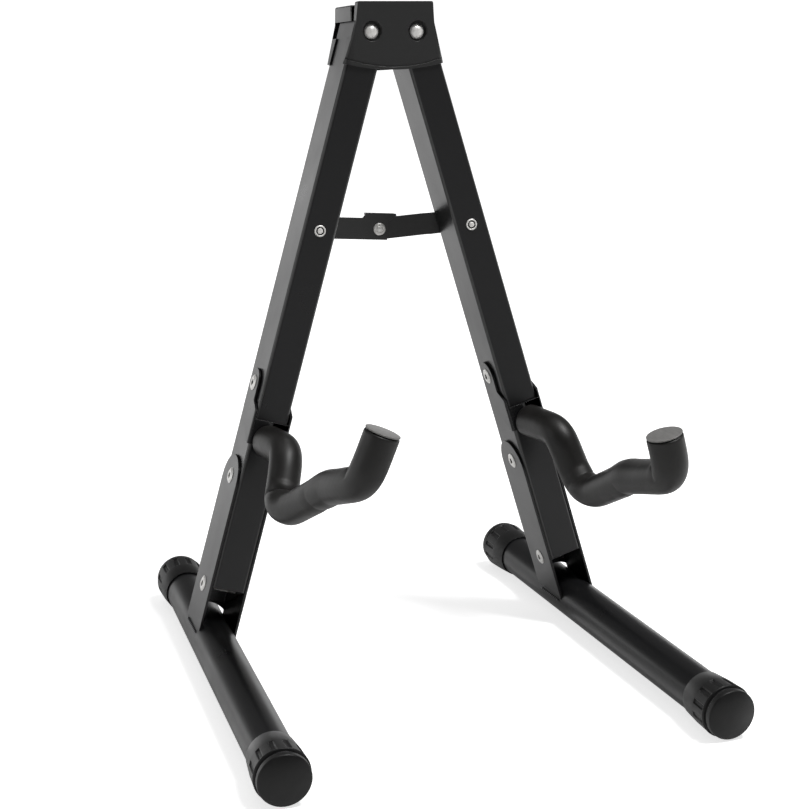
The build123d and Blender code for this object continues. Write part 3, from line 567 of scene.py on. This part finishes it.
def studio_paper():
    """Pale paper: it takes soft shadows, and shows white to the camera and in reflections.

    The glow that reflections see grows away from the object, where the sweep is lit from behind, and fades
    towards the front of the set, which stands in a dim room.
    """
    material, tree = new_material("studio_paper")
    path = add(tree, "ShaderNodeLightPath").outputs
    where = add(tree, "ShaderNodeTexCoord").outputs["Object"]
    away = add(tree, "ShaderNodeVectorMath", (where,), operation="LENGTH").outputs["Value"]
    depth = add(tree, "ShaderNodeSeparateXYZ", {"Vector": where}).outputs["Y"]
    rays = (path["Is Glossy Ray"], path["Is Transmission Ray"])
    mirrored = add(tree, "ShaderNodeMath", rays, operation="MAXIMUM").outputs[0]
    front = add(tree, "ShaderNodeMapRange", (depth, -0.9, -0.05, 0.42, 1.0)).outputs[0]
    # To the camera: a lift that grows with the distance until the paper is white.
    shown = add(tree, "ShaderNodeMapRange", (away, 0.6, 2.2, 0.72, 1.0)).outputs[0]
    shown = add(tree, "ShaderNodeMath", (shown, path["Is Camera Ray"]), operation="MULTIPLY").outputs[0]
    # To reflections: a glow that grows with the distance and fades to the front.
    far = add(tree, "ShaderNodeMapRange", (away, 0.15, 1.0, 0.15, 0.9)).outputs[0]
    far = add(tree, "ShaderNodeMath", (far, front), operation="MULTIPLY").outputs[0]
    far = add(tree, "ShaderNodeMath", (far, mirrored), operation="MULTIPLY").outputs[0]
    strength = add(tree, "ShaderNodeMath", (shown, far), operation="ADD").outputs[0]
    # The front of the set reflects darker than it looks.
    dim = add(tree, "ShaderNodeMath", (mirrored, front), operation="MULTIPLY").outputs[0]
    dim = add(tree, "ShaderNodeMath", (mirrored, dim), operation="SUBTRACT").outputs[0]
    tone = add(tree, "ShaderNodeValToRGB", {"Fac": dim}, [(0.0, "#e6e6e6"), (1.0, "#3c3c3c")])
    paper = add(tree, "ShaderNodeBsdfDiffuse", {"Color": tone.outputs[0]}).outputs[0]
    glow = add(tree, "ShaderNodeEmission", {"Color": hex_linear("#ffffff"), "Strength": strength}).outputs[0]
    both = add(tree, "ShaderNodeAddShader", (paper, glow)).outputs[0]
    add(tree, "ShaderNodeOutputMaterial", {"Surface": both})
    return material


# ---- steel --------------------------------------------------------------
class STAND_OT_finishes(bpy.types.Operator):
    """Gives the CAD parts their finishes"""

    bl_idname = "stand.finishes"
    bl_label = "Finishes"

    def execute(self, context):
        coat = powder_coated_steel("satin_powder_coat", settings().coat_colour, 0.3)
        head = powder_coated_steel("head_powder_coat", settings().cover_colour, 0.36)
        link = powder_coated_steel("link_powder_coat", settings().link_colour, 0.36)
        legs = {
            side: powder_coated_steel(f"leg_coat_painted_highlight_{side}", settings().coat_colour, 0.3, leg_axes(side))
            for side in SIDES
        }
        nickel = nickel_plated_steel()
        zinc = zinc_plated_steel()
        pvc = moulded_pvc()
        for name, node in frame["nodes"].items():
            if name.startswith("leg_tube"):
                finish = legs[name.rsplit("_", 1)[1]]
            elif "cover" in name:
                finish = head
            elif "link" in name:
                finish = link
            elif "rivet" in name or "pin" in name:
                finish = nickel
            elif "bush" in name or "spacer" in name:
                finish = zinc
            elif "cap" in name or "foam" in name:
                finish = pvc
            else:
                finish = coat
            node.data.materials.clear()
            node.data.materials.append(finish)
        return {"FINISHED"}


def joined_copy(node):
    """A copy of a CAD node's mesh with its triangles joined into the flat faces they make up."""
    mesh = frame["nodes"][node].data.copy()
    mesh.name = f"{node}_eased"
    work = bmesh.new()
    work.from_mesh(mesh)
    bmesh.ops.remove_doubles(work, verts=work.verts, dist=2e-6)
    bmesh.ops.dissolve_limit(work, angle_limit=math.radians(0.4), verts=work.verts, edges=work.edges)
    work.to_mesh(mesh)
    work.free()
    mesh.shade_smooth()
    if "custom_normal" in mesh.attributes:
        mesh.attributes.remove(mesh.attributes["custom_normal"])
    return mesh


class STAND_OT_sheets(bpy.types.Operator):
    """Eases the cut edges of the brackets, links and head shells"""

    bl_idname = "stand.sheets"
    bl_label = "Eased Sheet Edges"

    def execute(self, context):
        for node, ease, slot in SHEETS:
            mesh = joined_copy(node)
            mesh.materials.clear()
            finish = frame["nodes"][node].data.materials[0]
            piece = place(f"{node}_sheet", mesh, finish, body_of(node), slot, node)
            edge = piece.modifiers.new("eased_edge", "BEVEL")
            edge.width = ease * MM
            edge.segments = 2
            edge.limit_method = "ANGLE"
            edge.angle_limit = math.radians(50)
            edge.use_clamp_overlap = False
            edge.harden_normals = True
        return {"FINISHED"}


def apply_painted_shade(mesh, finish, start, axis, along, radius):
    """Paints shade on a turned mesh, as a second material, where its faces lie within a span along its axis and of
    radius.
    """
    mesh.materials.append(finish)
    middle = np.zeros(len(mesh.polygons) * 3, np.float32)
    mesh.polygons.foreach_get("center", middle)
    offset = (middle.reshape(-1, 3) - start) / MM
    depth = offset @ axis
    reach = np.linalg.norm(offset - depth[:, None] * axis, axis=1)
    inside = (depth > along[0]) & (depth < along[1]) & (reach > radius[0]) & (reach < radius[1])
    mesh.polygons.foreach_set("material_index", inside.astype(np.int32))


def ringed_front():
    """Half outline of a ringed pin's front end: a boss, the groove round it, the ring and its underside."""
    boss = [(0.0, 0.0), (0.0, 0.8), (0.2, 1.5), (0.95, 1.75)]
    ring = [(0.95, 2.35), (0.3, 2.55), (0.25, 3.0), (0.55, 3.4), (1.0, 3.4), (1.0, PIN_SHANK)]
    return round_outline(boss + ring, (0.8, 0.5, 0.3, 0.3, 0.3, 0.3, 0.4, 0.05, 0.0), 0.1)


def domed_front():
    """Half outline of the middle rivet's front end: a domed boss in a shallow groove, and a broad rim."""
    groove = [(MIDDLE_FRONT[1], MIDDLE_FRONT[0]), (1.0, 2.2), (1.0, 2.4), (0.55, 2.6)]
    rim = [(0.75, 3.2), (1.1, 3.75), (1.5, 3.8), (1.5, PIN_SHANK)]
    edge = round_outline(groove + rim, (0.1, 0.1, 0.3, 0.8, 0.6, 0.1), 0.1)
    return np.concatenate([dome(*MIDDLE_FRONT)[:-1], edge])


def rolled_head():
    """Half outline of a hollow rivet's rolled head: the lip of its eye, its crown, and its rim."""
    lip = [(0.5, 1.75), (0.0, 1.95), (0.0, 3.35)]
    rim = [(0.75, 4.68), (1.0, 4.7), (1.0, 2.6), (2.0, 2.6)]
    return round_outline(lip + rim, (0.25, 1.6, 0.5, 0.1, 0.0), 0.12)


class STAND_OT_rivets(bpy.types.Operator):
    """Makes the rivets and pins"""

    bl_idname = "stand.rivets"
    bl_label = "Rivets and Pins"

    def execute(self, context):
        nickel = bpy.data.materials["nickel_plated_steel"]
        recess_shade = painted_recess_shade()
        back = leg_axes("left")[1]
        for side in SIDES:
            node = f"head_rivet_{side}"
            start, length, square = turned_place(node, back)
            shank = [(HEAD_FRONT[1], HEAD_SHANK), (length - HEAD_REAR[1], HEAD_SHANK)]
            outline = np.concatenate([dome(*HEAD_FRONT), shank, dome(*HEAD_REAR, length)])
            mesh = lathe(node, start, back, square, outline, 64)
            place(f"{node}_turned", mesh, nickel, body_of(node), "rivet", node)
        # Each pin's front end, and its domed rear end or None where it is cut off square.
        ends = {
            "spreader_pin_left": (ringed_front(), PIN_REAR),
            "spreader_pin_right": (ringed_front(), None),
            "spreader_rivet": (domed_front(), MIDDLE_REAR),
            "spreader_pin_end": ([(0.0, 0.0), (0.0, PIN_SHANK)], PIN_REAR),
        }
        for node, (front, head) in ends.items():
            start, length, square = turned_place(node, back)
            if head:
                rear = np.concatenate([[(length - head[1], PIN_SHANK)], dome(*head, length)])
            else:
                rear = [(length, PIN_SHANK), (length, 0.0)]
            mesh = lathe(node, start, back, square, np.concatenate([front, rear]), 64)
            place(f"{node}_turned", mesh, nickel, body_of(node), "rivet", node)
            if node in ("spreader_pin_left", "spreader_pin_right"):
                # Painted shade in the groove between the pin's boss and its ring.
                apply_painted_shade(mesh, recess_shade, start, back, *GROOVE)
        for side in SIDES:
            across = leg_axes(side)[0]
            for node in (f"arm_pivot_rivet_{side}", f"foot_rivet_upper_{side}", f"foot_rivet_lower_{side}"):
                start, length, square = turned_place(node, across)
                head = rolled_head()
                other = head[::-1] * [-1, 1] + [length, 0]
                mesh = lathe(node, start, across, square, np.concatenate([head, other]), 64, ring=True)
                place(f"{node}_turned", mesh, nickel, body_of(node), "rivet", node)
                # Painted shade on the bore of the rivet's eye.
                apply_painted_shade(mesh, recess_shade, start, across, (EYE_DEEP, length - EYE_DEEP), (0.0, EYE_R))
        return {"FINISHED"}


class STAND_OT_welds(bpy.types.Operator):
    """Makes the weld beads between the foot brackets and the base tubes"""

    bl_idname = "stand.welds"
    bl_label = "Weld Beads"

    def execute(self, context):
        coat = bpy.data.materials["satin_powder_coat"]
        # Ripples: radius * (1 + ripple * cos(2 pi x / pitch)), tapering to nothing over each end.
        x = np.linspace(-BEAD_HALF, BEAD_HALF, 157)
        taper = np.sqrt(np.clip((BEAD_HALF - np.abs(x)) / BEAD_TAPER, 0, 1))
        bead = np.stack([x, BEAD_R * taper * (1 + BEAD_RIPPLE * np.cos(2 * math.pi * x / BEAD_PITCH))], -1)
        # The angle round the tube, from level, at which the bracket's cheek meets it.
        lift = math.atan2(math.sqrt(BASE_R**2 - FOOT_HALF**2), FOOT_HALF)
        for side, s in SIDES.items():
            front, axis = base_line(side)
            right = np.cross(axis, [0.0, 0.0, 1.0])
            middle = front + axis * FOOT_ALONG * MM
            for cheek in (-1, 1):
                tilt = s * SPLAY + cheek * lift
                out = cheek * (math.cos(tilt) * right + math.sin(tilt) * np.array([0.0, 0.0, 1.0]))
                mesh = lathe(f"weld_{side}", middle + out * BEAD_OUT * MM, axis, out, bead, 24)
                # One node holds both beads of a foot, and one of the two pieces stands for it.
                nodes = (f"foot_welds_{side}",) if cheek < 0 else ()
                name = f"weld_bead_{side}_{'inner' if cheek * s < 0 else 'outer'}"
                place(name, mesh, coat, f"{side}_leg", "paint", *nodes)
        return {"FINISHED"}


# ---- base caps ----------------------------------------------------------
def base_cap(name, face, axis, across):
    """A moulded end cap, its closed face at face looking along -axis.

    The outline runs from the face's middle over the flange, the neck, the slotted grip and the cone to the
    open mouth, and back inside to the face. Round the grip the radius drops in each slot: drop = depth *
    s(along) * s(v), with s a soft step at the slot's edges.
    """
    face_end = [(0, 0), (0, FACE_R - 0.8), (0.8, FACE_R), (FACE_THICK, FACE_R)]
    neck = [(FACE_THICK, NECK_R), (GRIP_START, NECK_R), (GRIP_START, GRIP_R[0])]
    outer = round_outline(face_end + neck, (0.0, 0.8, 0.9, 0.5, 0.3, 0.3), 0.15)
    rows = 61
    grip = np.stack([np.linspace(GRIP_START, GRIP_END, rows)[1:], np.linspace(*GRIP_R, rows)[1:]], -1)
    # The grip's front edge is broken by its first two rows.
    grip[:2, 1] -= (0.25, 0.06)
    cone = [(GRIP_END, GRIP_R[1]), (CAP_LENGTH, MOUTH_R), (CAP_LENGTH, MOUTH_R - 0.2)]
    inside = [(27.5, MOUTH_R - 0.2), (27.5, CAP_WALL_R), (FACE_THICK + 0.1, CAP_WALL_R), (FACE_THICK + 0.1, 0)]
    rest = round_outline(cone + inside, (0.1, 0.1, 0.3, 0.2, 0.0), 0.3)
    profile = np.concatenate([outer[:-1], [(GRIP_START, GRIP_R[0] - 0.45)], grip, rest[1:]])
    count = settings().cap_slots

    def slots(outline, v):
        along = outline[:, 0][:, None]
        held = (np.arange(len(outline)) >= len(outer)) & (np.arange(len(outline)) < len(outer) + rows)
        starts = np.clip((along - SLOT_SPAN[0]) / SLOT_SOFT, 0, 1)
        ends = np.clip((SLOT_SPAN[1] - along) / SLOT_SOFT, 0, 1)
        share = (v * count / (2 * math.pi)) % 1.0 - 0.5
        away = np.abs(share) * 2 * math.pi * GRIP_R[0] / count
        sides = np.clip((SLOT_WIDTH / 2 + SLOT_SOFT / 2 - away) / SLOT_SOFT, 0, 1)
        return -SLOT_DEPTH * starts * ends * held[:, None] * sides * sides * (3 - 2 * sides)

    return lathe(name, face, axis, across, profile, 30 * count, slots)


class STAND_OT_caps(bpy.types.Operator):
    """Makes the moulded caps on the base tubes"""

    bl_idname = "stand.caps"
    bl_label = "Base Caps"

    def execute(self, context):
        pvc = bpy.data.materials["moulded_pvc"]
        for side in SIDES:
            axis = base_line(side)[1]
            for end, way in (("front", axis), ("rear", -axis)):
                node = f"base_cap_{end}_{side}"
                face, _, across = turned_place(node, way)
                mesh = base_cap(node, face, way, across)
                place(f"{node}_moulded", mesh, pvc, body_of(node), "rubber", node)
        return {"FINISHED"}


# ---- arms ---------------------------------------------------------------
def arm_line(side):
    """The sleeve's centre line, in metres, each point's distance along it in mm, and its side direction.

    The corners are rounded to arcs, sampled evenly, and carried from the arm's plane into the row frame
    by its root, on the bracket, and its three set angles.
    """
    across, back, up = leg_axes(side)
    swing, rise, hang = (math.radians(a) for a in ARM_SET[side])
    root = joint_spot(f"{side}_arm_fold") + (-(LEG_DEPTH / 2 + SHEET) * back - ROOT_DROP * up) * MM
    forward = -back
    forward, across = turn(forward, up, swing), turn(across, up, swing)
    forward, upward = turn(forward, across, -rise), turn(up, across, -rise)
    across, upward = turn(across, -forward, hang), turn(upward, -forward, hang)
    flat = round_outline(SLEEVE_CORNERS[side], SLEEVE_BENDS[side], 0.4)
    flat, along = resample(flat, settings().foam_step / MM)
    points = root + (flat[:, :1] * forward + flat[:, 1:] * upward) * MM
    return points, along, across


def line_frames(points, side_way):
    """In-plane normal and side direction at each point of a flat line."""
    tangent = np.gradient(points, axis=0)
    tangent /= np.linalg.norm(tangent, axis=1, keepdims=True)
    side = np.repeat(side_way[None], len(points), 0)
    return np.cross(side, tangent), side


def curvature(points, normal):
    """Signed curvature of a line per metre, positive where it bends towards its normal, eased over 15 points."""
    tangent = np.gradient(points, axis=0)
    step = np.linalg.norm(tangent, axis=1)
    tangent /= step[:, None]
    bend = (np.gradient(tangent, axis=0) * normal).sum(1) / step
    kernel = np.hanning(15) / np.hanning(15).sum()
    return np.convolve(np.pad(bend, 7, mode="edge"), kernel, mode="valid")


def bend_middles(bend, along):
    """The middle of each bend, which is a stretch with more than a small share of the sharpest curvature."""
    sharp = np.abs(bend) > 0.0875 * np.abs(bend).max()
    edges = np.flatnonzero(np.diff(np.concatenate([[0], sharp.astype(int), [0]])))
    return [along[(a + b - 1) // 2] for a, b in zip(edges[::2], edges[1::2])]


def foam_sleeve(side):
    """The foam sleeve of one arm, as rings along its line.

    Radius = R(s) + crease + bunch + bulge + crown + wobble. R(s) runs evenly between the sleeve's four
    radii. Inside each bend, where the foam is squeezed, a crease pinches it: depth * exp(-|s - s0(v)| / w)
    * cos(v)^0.6. The crease starts at the bend's middle or the set distance before it, and its two ends
    run up the near leg of the bend: s0 = middle - back - climb * sin(v)^2. The foam bunches up on both
    sides of the crease, and what is squeezed out of the valley bulges on its -X side. Outside a bend it is
    stretched a little thinner, but just before the third bend it stands up as a low crown. The ends roll in.
    """
    rings = 128
    points, line_along, across = arm_line(side)
    normal, side_way = line_frames(points, across)
    bend = curvature(points, normal)
    v = np.linspace(0, 2 * math.pi, rings, endpoint=False)[None]
    along = line_along[:, None]
    inner = np.cos(v) * np.sign(bend)[:, None]
    held = np.clip(np.abs(bend)[:, None] * 0.02, 0, 1)
    radius = np.interp(along / line_along[-1], SLEEVE_MARKS, SLEEVE_RADII[side]) + 0 * inner
    radius = radius * settings().foam_radius / (FOAM_R * MM)
    radius -= 0.3 * held * np.clip(-inner, 0, 1)
    middles = bend_middles(bend, line_along)
    for middle, depth, back in zip(middles, SLEEVE_CREASES[side], FOLD_BACK[side]):
        facing = np.clip(inner[int(np.argmin(np.abs(line_along - middle)))][None] + 0.15, 0, 1)
        climb = 1.6 * depth * np.sin(v) ** 2
        gap = along - middle + climb + back
        radius -= depth * np.exp(-np.sqrt(gap**2 + 0.3**2) / 2.8) * facing**0.6
        radius += 0.25 * depth * hump(gap - 7.0, 4.0) * facing**0.8
        radius += 0.15 * depth * hump(gap + 6.0, 2.5) * facing**1.2
    outside = np.clip(-inner[int(np.argmin(np.abs(line_along - middles[2])))], 0, 1)[None]
    radius += SLEEVE_CROWN * hump(along - middles[2] + 5.0, 7.0) * outside
    outward = np.clip(-np.sin(v), 0, 1) ** 1.5
    radius += SLEEVE_BULGE[side] * hump(along - middles[1] - 1.0, 8.0) * outward
    radius += 0.08 * np.sin(along / 17.0 + 1.7) * np.cos(v + along / 60.0)
    # The line starts inside the bracket. The sleeve starts just in front of it, and ends at the disc's gap.
    end = line_along[-1] - (settings().disc_thick + settings().disc_gap) / MM
    roll = np.minimum(line_along - SLEEVE_START, end - line_along)
    keep = roll >= 0
    roll = np.clip(roll, 0, 1.0)
    radius -= (1.0 - np.sqrt(1.0 - (1.0 - roll) ** 2))[:, None]
    outer = tube_about(points[keep], normal[keep], side_way[keep], radius[keep] * MM)
    return outer, points[keep], normal[keep], side_way[keep]


class STAND_OT_sleeves(bpy.types.Operator):
    """Makes the foam sleeves of the two arms"""

    bl_idname = "stand.sleeves"
    bl_label = "Foam Sleeves"

    def execute(self, context):
        foam = closed_cell_foam()
        for side in SIDES:
            outer, line, normal, side_way = foam_sleeve(side)
            # The bore clears the rod by 2 percent.
            bore = tube_about(line, normal, side_way, np.full(outer.shape[:2], 1.02 * ROD_R * MM))
            shell = np.concatenate([outer, bore[::-1]], 0)
            mesh = grid_mesh(f"foam_{side}", shell, wrap_u=True)
            piece = place(f"foam_sleeve_{side}", mesh, foam, f"{side}_arm", "foam", f"arm_foam_{side}")
        return {"FINISHED"}


class STAND_OT_rods(bpy.types.Operator):
    """Makes the bent rods inside the sleeves and the discs on their ends"""

    bl_idname = "stand.rods"
    bl_label = "Rods and Discs"

    def execute(self, context):
        coat = bpy.data.materials["satin_powder_coat"]
        vinyl = die_cut_vinyl()
        thick = settings().disc_thick / MM
        for side in SIDES:
            points, along, across = arm_line(side)
            normal, side_way = line_frames(points, across)
            # The rod ends inside the disc, and its two ends close on the line.
            order = np.flatnonzero(along <= along[-1] - 0.6 * thick)
            order = np.concatenate([order[:1], order, order[-1:]])
            radius = np.full((len(order), 32), ROD_R * MM)
            radius[[0, -1]] = 0
            rings = tube_about(points[order], normal[order], side_way[order], radius)
            rod = close_poles(grid_mesh(f"rod_{side}", rings))
            place(f"bent_rod_{side}", rod, coat, f"{side}_arm", "paint", f"arm_rod_{side}")
            way = points[-1] - points[-4]
            way /= np.linalg.norm(way)
            edge = SLEEVE_RADII[side][3] - 0.15
            half = [(-thick, 0.0), (-thick, edge - 0.35), (-0.5 * thick, edge), (0.0, edge), (0.0, 0.0)]
            outline = round_outline(half, (0.1, 0.2, 0.35, 0.0), 0.05)
            disc = lathe(f"disc_{side}", points[-1], way, normal[-1], outline, 160)
            place(f"end_disc_{side}", disc, vinyl, f"{side}_arm", "rubber", f"arm_end_cap_{side}")
        return {"FINISHED"}


# ---- stage --------------------------------------------------------------
class STAND_OT_stage(bpy.types.Operator):
    """Sets the floor, the lights and the camera"""

    bl_idname = "stand.stage"
    bl_label = "Stage"

    def execute(self, context):
        scene = context.scene
        scene.view_settings.view_transform = "Standard"
        half = settings().floor_size
        square = [(-half, -half, 0), (half, -half, 0), (half, half, 0), (-half, half, 0)]
        floor = bpy.data.meshes.new("floor")
        floor.from_pydata(square, [], [(0, 1, 2, 3)])
        floor.materials.append(studio_paper())
        floor_piece = bpy.data.objects.new("studio_floor", floor)
        scene.collection.objects.link(floor_piece)
        self.world(scene)
        for name, (spot, size, power) in LAMPS.items():
            self.lamp(scene, name, spot, size, power)
        self.camera(scene)
        return {"FINISHED"}

    def lamp(self, scene, name, spot, size, power):
        """A square softbox that faces the stand."""
        light = bpy.data.lights.new(name, "AREA")
        light.shape = "SQUARE"
        light.size = size
        light.energy = power
        lamp = bpy.data.objects.new(name, light)
        lamp.location = spot
        lamp.rotation_euler = (Vector(LAMP_AIM) - Vector(spot)).to_track_quat("-Z", "Y").to_euler()
        scene.collection.objects.link(lamp)

    def camera(self, scene):
        """The camera at its place, looking ahead with its up direction made square to that."""
        camera = bpy.data.cameras.new("camera")
        camera.sensor_width = 36.0
        camera.lens = settings().lens
        camera.clip_end = 100.0
        ahead = Vector(CAMERA_AHEAD)
        right = ahead.cross(Vector(CAMERA_UP)).normalized()
        up = right.cross(ahead).normalized()
        pose = Matrix((right, up, -ahead)).transposed().to_4x4()
        pose.translation = Vector(CAMERA_SPOT)
        viewer = bpy.data.objects.new("camera", camera)
        viewer.matrix_world = pose
        scene.collection.objects.link(viewer)
        scene.camera = viewer

    def world(self, scene):
        """White to the camera. The object sees a bright horizon behind, a dim room in front, a dark ceiling."""
        world = bpy.data.worlds.new("studio_room")
        world.use_nodes = True
        tree = world.node_tree
        tree.nodes.clear()
        path = add(tree, "ShaderNodeLightPath").outputs
        way = add(tree, "ShaderNodeTexCoord").outputs["Generated"]
        parts = add(tree, "ShaderNodeSeparateXYZ", {"Vector": way}).outputs
        rise = (parts["Z"], 0.0, 0.2, 1.75, 0.14)
        horizon = add(tree, "ShaderNodeMapRange", rise, interpolation_type="SMOOTHSTEP").outputs[0]
        behind = add(tree, "ShaderNodeMapRange", (parts["Y"], -0.6, 0.3, 0.42, 1.0)).outputs[0]
        room = add(tree, "ShaderNodeMath", (horizon, behind), operation="MULTIPLY").outputs[0]
        strength = add(tree, "ShaderNodeMath", (path["Is Camera Ray"], room), operation="MAXIMUM").outputs[0]
        glow = add(tree, "ShaderNodeBackground", {"Color": hex_linear("#ffffff"), "Strength": strength})
        add(tree, "ShaderNodeOutputWorld", {"Surface": glow.outputs[0]})
        scene.world = world


class STAND_PT_panel(bpy.types.Panel):
    """The stand's sizes and its makers"""

    bl_label = "Guitar Stand"
    bl_idname = "STAND_PT_panel"
    bl_space_type = "VIEW_3D"
    bl_region_type = "UI"
    bl_category = "Stand"

    def draw(self, context):
        for key in StandSettings.__annotations__:
            self.layout.prop(context.scene.stand_settings, key)
        for maker in MAKERS:
            self.layout.operator(maker.bl_idname)


# The order in which they run: the sheets, rivets, welds, caps and rods take finishes made before them.
MAKERS = (
    STAND_OT_stage,
    STAND_OT_finishes,
    STAND_OT_sheets,
    STAND_OT_rivets,
    STAND_OT_welds,
    STAND_OT_caps,
    STAND_OT_sleeves,
    STAND_OT_rods,
)
CLASSES = (StandSettings, *MAKERS, STAND_PT_panel)


def register():
    for cls in CLASSES:
        bpy.utils.register_class(cls)
    bpy.types.Scene.stand_settings = PointerProperty(type=StandSettings)


def unregister():
    del bpy.types.Scene.stand_settings
    for cls in reversed(CLASSES):
        bpy.utils.unregister_class(cls)


def corners(box):
    """A box's two corners as plain lists."""
    return [[float(c) for c in corner] for corner in box]


def main():
    register()
    bpy.ops.stand.stage()
    bpy.ops.stand.finishes()
    bpy.ops.stand.sheets()
    bpy.ops.stand.rivets()
    bpy.ops.stand.welds()
    bpy.ops.stand.caps()
    bpy.ops.stand.sleeves()
    bpy.ops.stand.rods()


if __name__ == "__main__":
    main()
